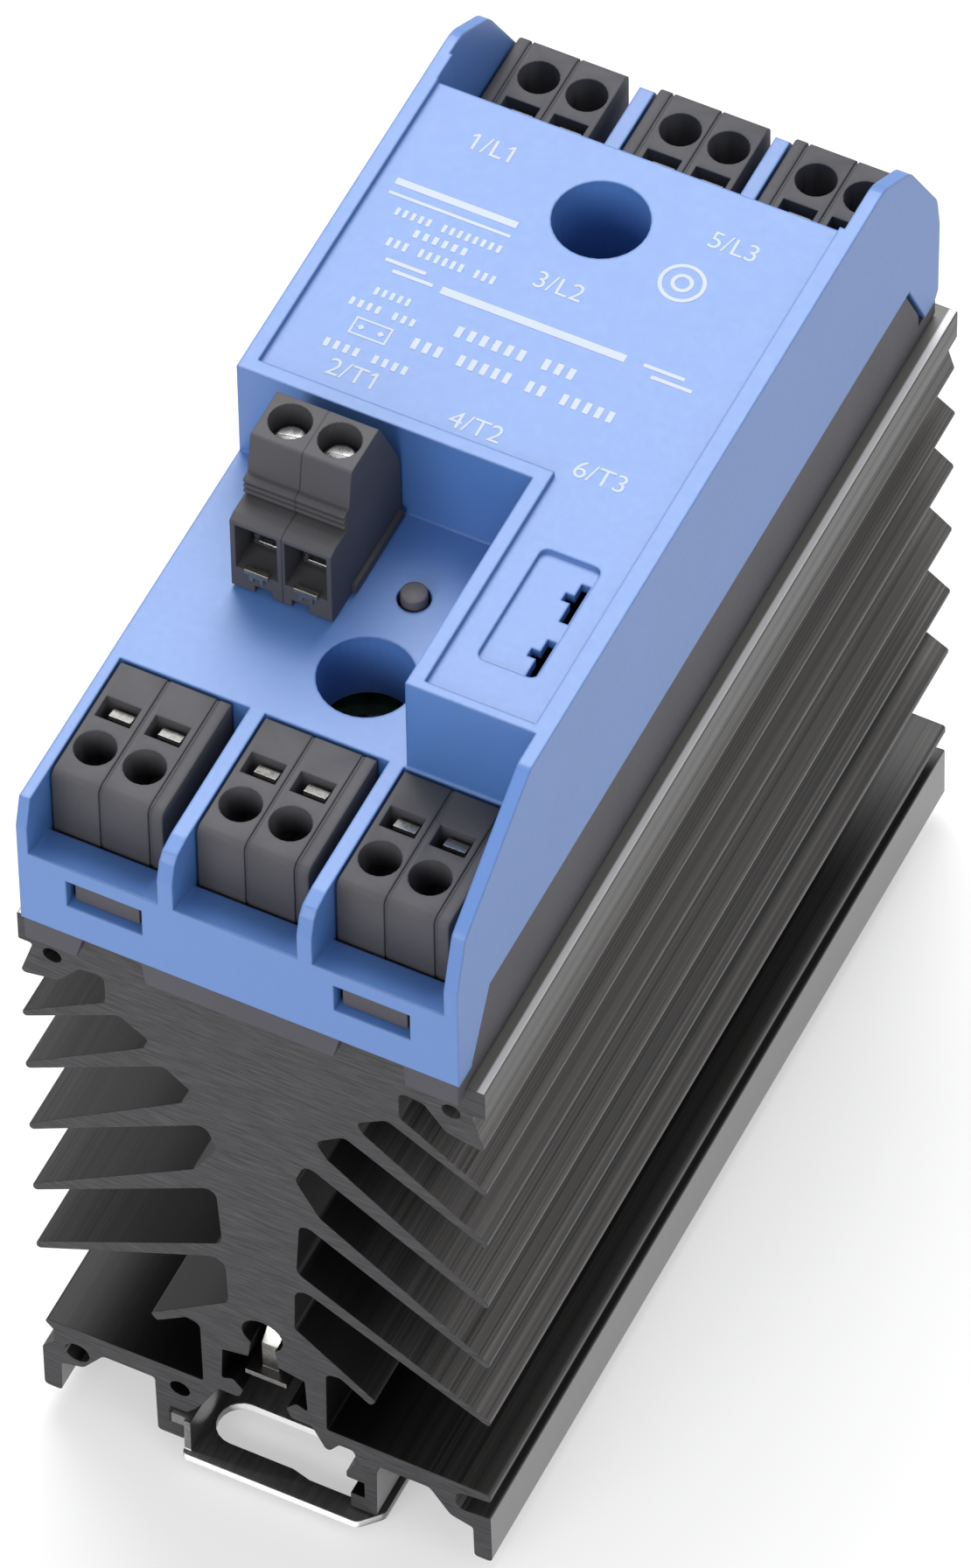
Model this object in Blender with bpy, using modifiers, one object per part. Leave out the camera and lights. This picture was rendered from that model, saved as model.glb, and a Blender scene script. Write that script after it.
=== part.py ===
"""Three-phase solid state relay on an extruded heatsink with a DIN-rail clip.

Sizes are in millimetres and MM turns them into metres. +X is the width, +Y runs from the load
terminals at the front to the line terminals at the far end, and +Z is up, away from the rail.
The origin is on the ground under the middle of the whole object.
"""

import math

import bmesh
import bpy
from mathutils import Matrix, Vector

MM = 0.001
GAP = 0.3  # clearance between pieces that touch on the real object

# Heatsink extrusion
SINK_HALF = 24.1
SINK_LENGTH = 102.5
SINK_HEIGHT = 76.2
CLIP_DROP = 2.4  # how far the rail clip reaches below the heatsink's feet

# Relay housing
RELAY_HALF = 22.5
RELAY_LENGTH = 103.4
RELAY_OVERHANG = 2.0  # the housing reaches past the heatsink's sawn front face
WALL = 1.4
SKIRT_HEIGHT = 10.4  # grey base, above the heatsink's top face
COVER_BOTTOM = 2.7  # lowest edge of the cover's two ends
TAB_BOTTOM = -0.6  # the base's front tabs hang past the heatsink's top edge
FRONT_WALL_TOP = 12.9
LOW_FLOOR = 20.0  # pocket floor and terminal tops
RIM_TOP = 32.4
RIM_HEIGHT = 0.6
RIM_WIDTH = 1.5
POCKET_BACK = 45.7  # wall behind the control plug
STRIP_LEFT = 7.9  # left wall of the raised strip beside the pocket
BAY_BACK = 19.3  # wall behind the front terminals
PANEL_END = 84.8  # far edge of the raised panel
WELL_RADIUS = 4.7
WELL_Y = (26.9, 76.4)

# Terminals
BAY_STARTS = (-21.4, -6.5, 7.7)
BAY_ENDS = (-8.05, 6.2, 21.1)
POLE_WIDTH = 4.78
POLE_PITCH = 5.08
POLE_DEPTH = 14.2
POLE_BOTTOM = 10.7
END_PLATE = 1.2
FRONT_FACE = 4.6  # front face of the front terminals
FAR_FACE = 102.5  # outer face of the far terminals
WIRE_HOLE_RADIUS = 2.05
WIRE_HOLE_INSET = 4.2
SLOT_INSET = 8.8
SLOT_SIZE = (3.6, 2.5)

# Control plug
PLUG_CENTRE_X = -10.7
PLUG_WIDTH = 10.4
PLUG_FRONT = 31.0
PLUG_BACK = 45.3
PLUG_TOP = 37.3
PLUG_POLES = (PLUG_CENTRE_X - POLE_PITCH / 2, PLUG_CENTRE_X + POLE_PITCH / 2)
PLUG_SCREW_Y = 38.5

# Inside
BASE_PLATE = (1.1, 4.1)
BOARD = (6.2, 7.8)
INDICATOR_AT = (-0.1, 37.0)

# DIN-rail clip
RAIL_WIDTH = 35.0
CLIP_SHEET = 1.0
SLIDER_TRAVEL = 4.0

MID_Y = (RELAY_OVERHANG + SINK_LENGTH) / 2
SINK_TOP = CLIP_DROP + SINK_HEIGHT


def y_at(y):
    """Model Y of a place measured back from the housing's front face."""
    return y - MID_Y


def z_at(z):
    """Model Z of a place measured up from the heatsink's top face."""
    return SINK_TOP + z


# ---------------------------------------------------------------- scene and materials

for old in list(bpy.data.objects):
    bpy.data.objects.remove(old, do_unlink=True)

parts = bpy.data.collections.new("solid_state_relay")
cutters = bpy.data.collections.new("cutters")
for collection in (parts, cutters):
    bpy.context.scene.collection.children.link(collection)
cutters.hide_render = True


def material(name, colour, roughness, metallic=0.0):
    made = bpy.data.materials.new(name)
    made.use_nodes = True
    shader = made.node_tree.nodes["Principled BSDF"]
    shader.inputs["Base Color"].default_value = (*colour, 1.0)
    shader.inputs["Roughness"].default_value = roughness
    shader.inputs["Metallic"].default_value = metallic
    return made


BLACK_ALUMINIUM = material("black_anodised_aluminium", (0.035, 0.035, 0.037), 0.5, 0.6)
BARE_ALUMINIUM = material("bare_aluminium", (0.72, 0.73, 0.74), 0.4, 1.0)
BLUE_PLASTIC = material("blue_plastic", (0.28, 0.42, 0.86), 0.5)
GREY_PLASTIC = material("dark_grey_plastic", (0.10, 0.095, 0.11), 0.6)
TERMINAL_PLASTIC = material("terminal_plastic", (0.115, 0.115, 0.12), 0.55)
PLUG_PLASTIC = material("plug_plastic", (0.13, 0.125, 0.125), 0.55)
LENS_PLASTIC = material("indicator_lens", (0.24, 0.20, 0.20), 0.35)
SPRING_STEEL = material("spring_steel", (0.70, 0.69, 0.66), 0.3, 1.0)
PLATED_STEEL = material("plated_steel", (0.66, 0.66, 0.67), 0.35, 1.0)
TINNED_COPPER = material("tinned_copper", (0.78, 0.62, 0.45), 0.35, 1.0)
BOARD_LAMINATE = material("board_laminate", (0.05, 0.22, 0.09), 0.5)
CERAMIC = material("ceramic", (0.82, 0.81, 0.78), 0.55)
THERMAL_FILM = material("thermal_film", (0.55, 0.56, 0.58), 0.7)


# ---------------------------------------------------------------- modelling helpers


def own(obj, finish=None, smooth=False):
    """Puts an object among the parts, or among the cutters when it has no finish."""
    for collection in list(obj.users_collection):
        collection.objects.unlink(obj)
    if finish is None:
        cutters.objects.link(obj)
        obj.hide_render = True
        obj.display_type = "WIRE"
        return obj
    parts.objects.link(obj)
    obj.data.materials.clear()
    obj.data.materials.append(finish)
    if smooth:
        obj.data.shade_smooth()
        obj.data.set_sharp_from_angle(angle=math.radians(35))
    return obj


def mesh_object(name, shape, finish, centre=(0, 0, 0), smooth=False):
    mesh = bpy.data.meshes.new(name)
    bmesh.ops.recalc_face_normals(shape, faces=shape.faces)
    shape.to_mesh(mesh)
    shape.free()
    obj = bpy.data.objects.new(name, mesh)
    obj.location = Vector(centre) * MM
    return own(obj, finish, smooth)


def box(name, low, high, finish=None, bevel=0.0):
    """A box between two corners, with its origin at its centre and its vertical edges rounded."""
    size = [(b - a) * MM for a, b in zip(low, high)]
    centre = [(a + b) / 2 for a, b in zip(low, high)]
    shape = bmesh.new()
    bmesh.ops.create_cube(shape, size=1.0, matrix=Matrix.Diagonal((*size, 1.0)))
    if bevel:
        upright = [e for e in shape.edges if abs(e.verts[0].co.z - e.verts[1].co.z) > 1e-6]
        bmesh.ops.bevel(
            shape, geom=upright, offset=bevel * MM, segments=3, profile=0.5, affect="EDGES"
        )
    return mesh_object(name, shape, finish, centre)


AXIS_TURN = {
    "X": Matrix.Rotation(math.radians(90), 4, "Y"),
    "Y": Matrix.Rotation(math.radians(-90), 4, "X"),
    "Z": Matrix.Identity(4),
}


def cylinder(name, radius, start, length, axis="Z", finish=None, segments=24, end_radius=None):
    """A cylinder or cone that starts at a point and runs along a positive axis."""
    end_radius = radius if end_radius is None else end_radius
    shape = bmesh.new()
    bmesh.ops.create_cone(
        shape,
        cap_ends=True,
        segments=segments,
        radius1=radius * MM,
        radius2=end_radius * MM,
        depth=length * MM,
        matrix=AXIS_TURN[axis] @ Matrix.Translation((0, 0, length * MM / 2)),
    )
    return mesh_object(name, shape, finish, start, smooth=True)


def rounded(corners, steps=3):
    """A closed outline from (a, b) or (a, b, radius) corners, each radius drawn as an arc."""
    points = []
    count = len(corners)
    for index, corner in enumerate(corners):
        here = Vector(corner[:2])
        radius = corner[2] if len(corner) > 2 else 0.0
        if not radius:
            points.append(here)
            continue
        to_last = (Vector(corners[index - 1][:2]) - here).normalized()
        to_next = (Vector(corners[(index + 1) % count][:2]) - here).normalized()
        half = to_last.angle(to_next) / 2
        setback = radius / math.tan(half)
        centre = here + (to_last + to_next).normalized() * radius / math.sin(half)
        first = here + to_last * setback - centre
        sweep = (here + to_next * setback - centre).angle_signed(first)
        for step in range(steps + 1):
            turn = Matrix.Rotation(sweep * step / steps, 2)
            points.append(centre + turn @ first)
    return points


def circle(centre, radius, steps=20):
    angles = [math.tau * step / steps for step in range(steps)]
    return [Vector(centre) + Vector((math.cos(a), math.sin(a))) * radius for a in angles]


PLANE_TURN = {
    "X": Matrix.Rotation(math.radians(90), 4, "Z") @ Matrix.Rotation(math.radians(90), 4, "X"),
    "Y": Matrix.Rotation(math.radians(90), 4, "X"),
    "Z": Matrix.Identity(4),
}


def extruded(name, outlines, axis, start, end, finish=None, smooth=False):
    """A flat outline with holes, extruded along an axis. Outlines lie in the YZ, XZ or XY plane."""
    curve = bpy.data.curves.new(name + "_outline", "CURVE")
    curve.dimensions = "2D"
    curve.fill_mode = "BOTH"
    curve.extrude = (end - start) * MM / 2
    middle = [(min(p[i] for p in outlines[0]) + max(p[i] for p in outlines[0])) / 2 for i in (0, 1)]
    for outline in outlines:
        spline = curve.splines.new("POLY")
        spline.points.add(len(outline) - 1)
        for point, place in zip(spline.points, outline):
            point.co = ((place[0] - middle[0]) * MM, (place[1] - middle[1]) * MM, 0.0, 1.0)
        spline.use_cyclic_u = True
    guide = bpy.data.objects.new(name + "_outline", curve)
    centre = [p * MM for p in middle]
    centre.insert("XYZ".index(axis), (start + end) / 2 * MM)
    guide.matrix_world = Matrix.Translation(centre) @ PLANE_TURN[axis]
    bpy.context.scene.collection.objects.link(guide)
    bpy.context.view_layer.update()
    graph = bpy.context.evaluated_depsgraph_get()
    mesh = bpy.data.meshes.new_from_object(guide.evaluated_get(graph))
    shape = bmesh.new()
    shape.from_mesh(mesh)
    bmesh.ops.remove_doubles(shape, verts=shape.verts, dist=1e-6)
    bmesh.ops.recalc_face_normals(shape, faces=shape.faces)
    shape.to_mesh(mesh)
    shape.free()
    mesh.name = name
    obj = bpy.data.objects.new(name, mesh)
    obj.matrix_world = guide.matrix_world.copy()
    bpy.data.objects.remove(guide, do_unlink=True)
    return own(obj, finish, smooth)


def combine(target, tool, operation):
    modifier = target.modifiers.new(tool.name, "BOOLEAN")
    modifier.operation = operation
    modifier.solver = "EXACT"
    modifier.object = tool
    return target


def cut(target, *tools):
    for tool in tools:
        combine(target, tool, "DIFFERENCE")
    return target


def join(target, *tools):
    for tool in tools:
        combine(target, tool, "UNION")
    return target


def housing_box(name, x, y, z, finish=None, bevel=0.0):
    """A box placed in housing measures: x from the centre, y from the front, z from the heatsink."""
    low = (x[0], y_at(y[0]), z_at(z[0]))
    high = (x[1], y_at(y[1]), z_at(z[1]))
    return box(name, low, high, finish, bevel)


def side_profile(corners):
    """A rounded YZ outline given in housing measures."""
    return [(y_at(p[0]), z_at(p[1])) for p in rounded(corners)]


# ---------------------------------------------------------------- heatsink

KEYHOLE_DEPTH = 53.4
KEYHOLE_RADIUS = 2.2
THROAT_HALF = 1.3


def sink_fins():
    """Right half of the extrusion from its top middle down to the base, as (x, depth, radius)."""
    path = [(SINK_HALF, 0.0, 0.2), (SINK_HALF, 4.0, 0.2), (22.6, 4.0, 0.3)]
    path += [(SINK_HALF, 9.2, 0.4), (20.0, 8.2, 1.0), (17.8, 5.2, 0.8), (15.2, 4.8, 0.8)]
    path += [(15.2, 8.9, 0.7)]
    gap_roots = (
        (15.3, 16.2, ((13.9, 10.1, 0.8), (10.7, 12.4, 0.7), (11.4, 13.8, 0.6))),
        (23.5, 24.5, ((9.4, 15.5, 0.8), (6.3, 18.0, 0.9), (7.6, 20.2, 0.8))),
        (33.3, 34.3, ((5.2, 22.3, 0.9), (4.1, 25.6, 1.2), (6.6, 30.2, 1.2))),
        (43.1, 44.1, ((4.4, 31.9, 0.9), (3.9, 40.6, 1.3))),
        (52.6, 53.6, ((3.7, 42.6, 1.2), (3.5, 50.0, 0.8))),
    )
    for tip_top, tip_bottom, root in gap_roots:
        path += [(SINK_HALF, tip_top, 0.3), (SINK_HALF, tip_bottom, 0.3), *root]
    path += [(12.0, 56.9, 0.3), (11.4, 57.8, 0.3), (8.2, 55.3, 0.6), (6.7, 55.6, 0.8)]
    return path + [(6.6, 64.9, 0.3), (24.0, 65.1, 0.3)]


def sink_foot(open_groove):
    """From the base plate's end, round the foot and the channel block, up to the keyhole."""
    if open_groove:
        path = [(24.0, 66.2, 0.2), (20.4, 66.6, 0.9), (20.2, 69.4, 0.9), (24.0, 69.0, 0.2)]
    else:
        path = [(22.8, 66.4, 0.2), (22.8, 68.5, 0.2), (SINK_HALF, 69.9, 0.4)]
    path += [(SINK_HALF, SINK_HEIGHT, 0.5), (22.2, SINK_HEIGHT, 0.4), (22.1, 71.6, 0.4)]
    path += [(19.7, 70.9, 1.2), (17.5, 67.7, 0.8), (11.9, 67.7, 0.4), (11.8, SINK_HEIGHT, 0.4)]
    path += [(9.0, SINK_HEIGHT, 0.2), (9.0, 74.0), (10.5, 74.0), (10.5, 71.5), (8.6, 71.5, 0.2)]
    if open_groove:
        path += [(8.6, 70.6, 0.2), (9.9, 68.4, 0.5), (9.4, 66.7, 0.5), (7.9, 66.7, 0.3)]
    else:
        path += [(7.6, 70.3, 0.4)]
    path += [(6.6, 68.6, 0.4), (5.0, 65.3, 0.5), (2.8, 65.3, 0.6), (2.3, 63.9, 0.5)]
    path += [(3.4, 62.6, 0.4), (4.6, 63.2, 0.2), (4.4, 58.3, 0.2), (1.6, 57.7, 0.3)]
    joint = math.acos(THROAT_HALF / KEYHOLE_RADIUS)
    for step in range(9):
        angle = joint - step * (joint + math.pi / 2) / 8
        x = KEYHOLE_RADIUS * math.cos(angle)
        path.append((x, KEYHOLE_DEPTH + KEYHOLE_RADIUS * math.sin(angle)))
    return path[:-1]


def make_heatsink():
    right = sink_fins() + sink_foot(open_groove=True)
    left = [(-p[0], *p[1:]) for p in reversed(sink_fins() + sink_foot(open_groove=False))]
    keyhole_top = [(0.0, KEYHOLE_DEPTH - KEYHOLE_RADIUS)]
    outline = rounded(right + keyhole_top + left)
    bosses = [circle((side * 20.6, 4.7), 1.0, 12) for side in (-1, 1)]
    bosses += [circle((-20.3, 68.8), 1.35, 14), circle((-9.2, 67.9), 1.1, 12)]
    flat = [[(p[0], SINK_TOP - p[1]) for p in ring] for ring in [outline, *bosses]]
    front = y_at(RELAY_OVERHANG)
    sink = extruded("heatsink", flat, "Y", front, front + SINK_LENGTH, BLACK_ALUMINIUM)
    for number, y in enumerate(WELL_Y, 1):
        start = (0, y_at(y), z_at(-14.0))
        cut(sink, cylinder(f"tapped_hole_{number}", 2.3, start, 15.0, segments=16))
    return sink


# ---------------------------------------------------------------- housing

COVER_EAR = [
    (0.0, COVER_BOTTOM),
    (0.0, 16.6, 2.0),
    (1.8, 23.0, 1.5),
    (15.5, RIM_TOP, 1.0),
    (90.6, RIM_TOP, 4.0),
    (96.4, 28.6, 4.0),
    (102.7, 17.8, 4.0),
    (RELAY_LENGTH, 13.5, 2.0),
    (RELAY_LENGTH, COVER_BOTTOM + 1.0, 0.5),
    (RELAY_LENGTH - 0.8, COVER_BOTTOM, 0.3),
]
SKIRT_LINE = [(2.7, 0.0), (2.7, 3.0), (6.5, SKIRT_HEIGHT + GAP), (96.7, SKIRT_HEIGHT + GAP)]
SKIRT_LINE += [(100.4, 3.0), (100.4, 0.0)]
INNER = RELAY_HALF - WALL


def make_cover():
    cover = extruded(
        "housing_cover", [side_profile(COVER_EAR)], "X", -RELAY_HALF, RELAY_HALF, BLUE_PLASTIC
    )
    above = RIM_TOP + 2.0
    low_zone = housing_box(
        "low_zone", (-RELAY_HALF - 1, STRIP_LEFT), (-1, POCKET_BACK), (LOW_FLOOR, above)
    )
    third_bay = housing_box("third_bay", (STRIP_LEFT - 1, INNER), (-1, BAY_BACK), (LOW_FLOOR, above))
    far_zone = housing_box(
        "far_zone", (-INNER, INNER), (PANEL_END, RELAY_LENGTH + 1), (LOW_FLOOR, above)
    )
    cut(cover, low_zone, third_bay, far_zone)

    # The panel and the strip lie a little below the rim that runs round them.
    panel = [
        (-RELAY_HALF + RIM_WIDTH, POCKET_BACK + RIM_WIDTH),
        (STRIP_LEFT + RIM_WIDTH, POCKET_BACK + RIM_WIDTH),
        (STRIP_LEFT + RIM_WIDTH, BAY_BACK + 1.0),
        (RELAY_HALF - RIM_WIDTH - 0.4, BAY_BACK + 1.0),
        (RELAY_HALF - RIM_WIDTH - 0.4, PANEL_END + 0.5),
        (-RELAY_HALF + RIM_WIDTH, PANEL_END + 0.5),
    ]
    flat = [(x, y_at(y)) for x, y in panel]
    low = z_at(RIM_TOP - RIM_HEIGHT)
    cut(cover, extruded("panel_recess", [flat], "Z", low, z_at(above)))

    # Inside: one space for the board and everything under it, then rooms up to each roof.
    board_space = housing_box("board_space", (-INNER, INNER), (1.6, 101.8), (0.0, 9.9))
    pocket_room = housing_box(
        "pocket_room", (-INNER, STRIP_LEFT - WALL), (20.4, POCKET_BACK + 1.5), (8.0, LOW_FLOOR - 1.6)
    )
    panel_room = housing_box(
        "panel_room", (-INNER, INNER), (POCKET_BACK + 1.6, PANEL_END - 1.6), (8.0, RIM_TOP - 2.2)
    )
    strip_room = housing_box(
        "strip_room",
        (STRIP_LEFT + WALL, INNER),
        (20.4, POCKET_BACK + 3.0),
        (8.0, RIM_TOP - 2.2),
    )
    cut(cover, board_space, pocket_room, panel_room, strip_room)
    skirt = extruded(
        "skirt_space", [side_profile(SKIRT_LINE)], "X", -RELAY_HALF - 1, RELAY_HALF + 1
    )
    cut(cover, skirt)

    # Terminal bays, open at the top, and a sloping sill behind the front wall.
    sill = [(-1.0, FRONT_WALL_TOP), (0.0, FRONT_WALL_TOP), (4.2, 11.7), (4.2, 9.8)]
    sill += [(BAY_BACK - 0.2, 9.8), (BAY_BACK - 0.2, above), (-1.0, above)]
    for number, span in enumerate(zip(BAY_STARTS, BAY_ENDS), 1):
        front_bay = extruded(f"front_bay_{number}", [side_profile(sill)], "X", *span)
        far_bay = housing_box(f"far_bay_{number}", span, (88.0, RELAY_LENGTH + 1), (9.8, above))
        cut(cover, front_bay, far_bay)
    crest = [(-1.0, 16.8), (0.0, 16.8), (0.3, 18.4), (1.3, 19.6), (3.4, LOW_FLOOR + 0.05)]
    crest += [(3.4, LOW_FLOOR + 1.0), (-1.0, LOW_FLOOR + 1.0)]
    cut(cover, extruded("divider_crests", [side_profile(crest)], "X", BAY_STARTS[0], BAY_ENDS[2]))
    for side in (-1, 1):
        span = sorted((side * 9.8, side * 17.6))
        name = "window_left" if side < 0 else "window_right"
        cut(cover, housing_box(name, span, (-1.0, 3.6), (7.1, 10.9)))

    # Screw wells: tubes that hang from each roof, with a through hole.
    for number, y in enumerate(WELL_Y, 1):
        roof = LOW_FLOOR - 0.8 if number == 1 else RIM_TOP - RIM_HEIGHT - 0.8
        start = (0, y_at(y), z_at(11.6))
        tube = cylinder(f"well_tube_{number}", WELL_RADIUS + 1.3, start, roof - 11.6, segments=32)
        start = (0, y_at(y), z_at(9.0))
        well = cylinder(f"well_hole_{number}", WELL_RADIUS, start, above - 9.0, segments=32)
        if number == 1:
            strip_side = housing_box(
                "well_side", (STRIP_LEFT - 0.9, STRIP_LEFT + 2.0), (20.0, 33.0), (0.0, above)
            )
            cut(well, strip_side)
        join(cover, tube)
        cut(cover, well)

    # Jumper recess in the strip with two T-shaped key slots.
    low = z_at(RIM_TOP - RIM_HEIGHT - 0.5)
    recess = rounded([(12.1, 25.2, 0.8), (18.2, 25.2, 0.8), (18.2, 39.3, 0.8), (12.1, 39.3, 0.8)])
    flat = [(p[0], y_at(p[1])) for p in recess]
    cut(cover, extruded("jumper_recess", [flat], "Z", low, z_at(above)))
    for number, y in enumerate((27.8, 34.9), 1):
        key = [(17.0, y - 2.4), (17.9, y - 2.4), (17.9, y + 2.4), (17.0, y + 2.4)]
        key += [(17.0, y + 0.9), (16.1, y + 0.9), (16.1, y - 0.1), (17.0, y - 0.1)]
        flat = [(p[0], y_at(p[1])) for p in key]
        cut(cover, extruded(f"key_slot_{number}", [flat], "Z", z_at(28.0), z_at(above)))

    # Openings in the pocket floor for the control header and the indicator.
    header = housing_box("header_hole", (-15.6, -5.8), (34.0, 44.2), (17.0, 21.0))
    start = (INDICATOR_AT[0], y_at(INDICATOR_AT[1]), z_at(17.0))
    cut(cover, header, cylinder("indicator_hole", 1.65, start, 5.0, segments=20))
    return cover


def make_base():
    """Grey tray: a skirt round the base plate, front tabs and two latch tongues."""
    base_half = RELAY_HALF - 0.2
    outline = [(1.7, GAP), (1.7, TAB_BOTTOM), (0.2, TAB_BOTTOM), (0.2, 2.4), (3.3, 2.4)]
    outline += [(3.3, 3.45), (6.85, SKIRT_HEIGHT)]
    outline += [(96.3, SKIRT_HEIGHT), (99.4, 4.0), (99.4, 2.4), (RELAY_LENGTH - 0.2, 2.4)]
    outline += [(RELAY_LENGTH - 0.2, GAP)]
    base = extruded(
        "housing_base", [side_profile(outline)], "X", -base_half, base_half, GREY_PLASTIC
    )
    inner = base_half - 1.7
    hollow = [(4.7, -2.0), (98.0, -2.0), (98.0, 4.8), (105.0, 5.2), (105.0, 12.0)]
    hollow += [(-1.0, 12.5), (-1.0, 4.0), (4.7, 4.4)]
    cut(base, extruded("tray_space", [side_profile(hollow)], "X", -inner, inner))
    for number, ends in enumerate(((-17.1, -16.2, -10.2, -9.8), (9.4, 10.2, 16.7, 16.9)), 1):
        corners = [(ends[0], -1.0), (ends[1], 2.6), (ends[2], 2.6), (ends[3], -1.0)]
        flat = [(x, z_at(z)) for x, z in corners]
        cut(base, extruded(f"front_notch_{number}", [flat], "Y", y_at(-1.0), y_at(1.8)))
    for side in (-1, 1):
        name = "left" if side < 0 else "right"
        span = sorted((side * 10.4, side * 17.0))
        tongue = [(1.95, 1.0), (3.8, 1.0), (3.8, 4.0), (3.2, 6.0), (3.2, 10.6), (0.7, 10.6)]
        tongue += [(0.7, 7.6), (1.95, 7.4)]
        join(base, extruded(f"latch_tongue_{name}", [side_profile(tongue)], "X", *span))
    return base


# ---------------------------------------------------------------- base plate, board, power parts


def screw_clearance(prefix, target, radius, low, high):
    for number, y in enumerate(WELL_Y, 1):
        start = (0, y_at(y), z_at(low))
        cut(target, cylinder(f"{prefix}_{number}", radius, start, high - low, segments=20))


def make_inside():
    plate = housing_box("base_plate", (-20.3, 20.3), (5.0, 97.7), BASE_PLATE, BARE_ALUMINIUM, 1.5)
    screw_clearance("plate_hole", plate, 2.3, 0.0, 5.0)
    film = housing_box("thermal_pad", (-19.8, 19.8), (5.5, 97.2), (0.3, 0.8), THERMAL_FILM, 1.0)
    screw_clearance("film_hole", film, 2.7, 0.0, 1.0)
    board = housing_box("circuit_board", (-20.2, 20.2), (5.6, 97.6), BOARD, BOARD_LAMINATE, 1.0)
    screw_clearance("board_hole", board, 6.3, 5.0, 9.0)
    for number, y in enumerate((39.0, 51.5, 64.0), 1):
        span = (y - 5.4, y + 5.4)
        housing_box(f"power_module_{number}", (-15.5, 15.5), span, (4.4, 5.9), CERAMIC, 0.8)


def make_mounting_screws():
    """Pan-head screws and washers at the bottom of the wells, into the heatsink."""
    for number, y in enumerate(WELL_Y, 1):
        where = (0, y_at(y))
        ring = [circle(where, 3.9, 24), circle(where, 2.3, 20)]
        extruded(f"washer_{number}", ring, "Z", z_at(4.4), z_at(5.2), PLATED_STEEL, smooth=True)
        screw = cylinder(
            f"mounting_screw_{number}",
            2.0,
            (*where, z_at(-12.5)),
            18.5,
            finish=PLATED_STEEL,
            segments=16,
        )
        profile = [(0.0, 8.3), (2.0, 8.2), (3.2, 7.6), (3.6, 6.8), (3.6, 5.5), (0.0, 5.5)]
        head = turned(f"screw_head_{number}", profile, (*where, SINK_TOP))
        join(screw, head)
        for name, turn in (("a", 0), ("b", 90)):
            blade = box(f"cross_{number}{name}", (-2.1, -0.45, 7.0), (2.1, 0.45, 9.0))
            blade.location = Vector((*where, z_at(8.0))) * MM
            blade.rotation_euler[2] = math.radians(turn)
            cut(screw, blade)


def turned(name, profile, centre, finish=None, steps=24):
    """A profile of (radius, height) points, from the top down its outer side, turned about Z."""
    shape = bmesh.new()
    points = [shape.verts.new((r * MM, 0, z * MM)) for r, z in profile]
    for a, b in zip(points, points[1:]):
        shape.edges.new((a, b))
    mesh = bpy.data.meshes.new(name)
    shape.to_mesh(mesh)
    shape.free()
    obj = bpy.data.objects.new(name, mesh)
    obj.location = Vector(centre) * MM
    screw = obj.modifiers.new("turn", "SCREW")
    screw.steps = steps
    screw.render_steps = steps
    screw.use_merge_vertices = True
    screw.merge_threshold = 0.00001
    return own(obj, finish)


# ---------------------------------------------------------------- terminals


def terminal_y(face, inward, distance):
    """Model Y at a distance from a terminal's outer face; inward is +1 at the front row."""
    return y_at(face + inward * distance)


def terminal_outline(face, inward):
    """Side view of a terminal, with its outer top edge rounded."""
    corners = [(0.0, POLE_BOTTOM), (0.0, LOW_FLOOR, 0.8), (POLE_DEPTH, LOW_FLOOR, 0.3)]
    corners += [(POLE_DEPTH, POLE_BOTTOM)]
    return [(terminal_y(face, inward, p[0]), z_at(p[1])) for p in rounded(corners)]


def make_pole(name, x, face, inward):
    """One pole of a spring terminal: round wire entry, screwdriver slot and a clamp chamber."""
    outline = terminal_outline(face, inward)
    pole = extruded(name, [outline], "X", x, x + POLE_WIDTH, TERMINAL_PLASTIC)
    middle = x + POLE_WIDTH / 2
    start = (middle, terminal_y(face, inward, WIRE_HOLE_INSET), z_at(POLE_BOTTOM + 1.2))
    wire = cylinder(name + "_wire_hole", WIRE_HOLE_RADIUS, start, 12.0, segments=20)
    width, depth = SLOT_SIZE
    reach = (SLOT_INSET - depth / 2, SLOT_INSET + depth / 2)
    slot = box(
        name + "_slot",
        (middle - width / 2, *spread(face, inward, reach)[0], z_at(12.0)),
        (middle + width / 2, *spread(face, inward, reach)[1], z_at(LOW_FLOOR + 1)),
    )
    low, high = spread(face, inward, (3.2, 12.4))
    chamber = box(
        name + "_chamber",
        (middle - 1.8, *low, z_at(POLE_BOTTOM + 1.0)),
        (middle + 1.8, *high, z_at(16.2)),
    )
    cut(pole, wire, slot, chamber)
    return pole


def spread(face, inward, reach):
    """The two Y limits of a stretch measured from a terminal's face, lower one first."""
    ends = sorted(terminal_y(face, inward, distance) for distance in reach)
    return (ends[0],), (ends[1],)


def make_clamp_spring(name, x, face, inward):
    """Bent steel strip: its upper leg shows in the slot and its lower leg presses on the wire."""
    strip = 0.45
    centre_line = [(8.35, 19.3), (9.3, 19.05), (9.45, 17.6), (9.45, 15.6), (11.2, 14.5)]
    centre_line += [(11.6, 13.3), (10.5, 12.6), (6.4, 12.5), (4.4, 14.4)]
    middle = x + POLE_WIDTH / 2
    outline = strip_outline(centre_line, strip)
    flat = [(terminal_y(face, inward, p[0]), z_at(p[1])) for p in outline]
    return extruded(name, [flat], "X", middle - 0.8, middle + 1.45, SPRING_STEEL)


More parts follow.
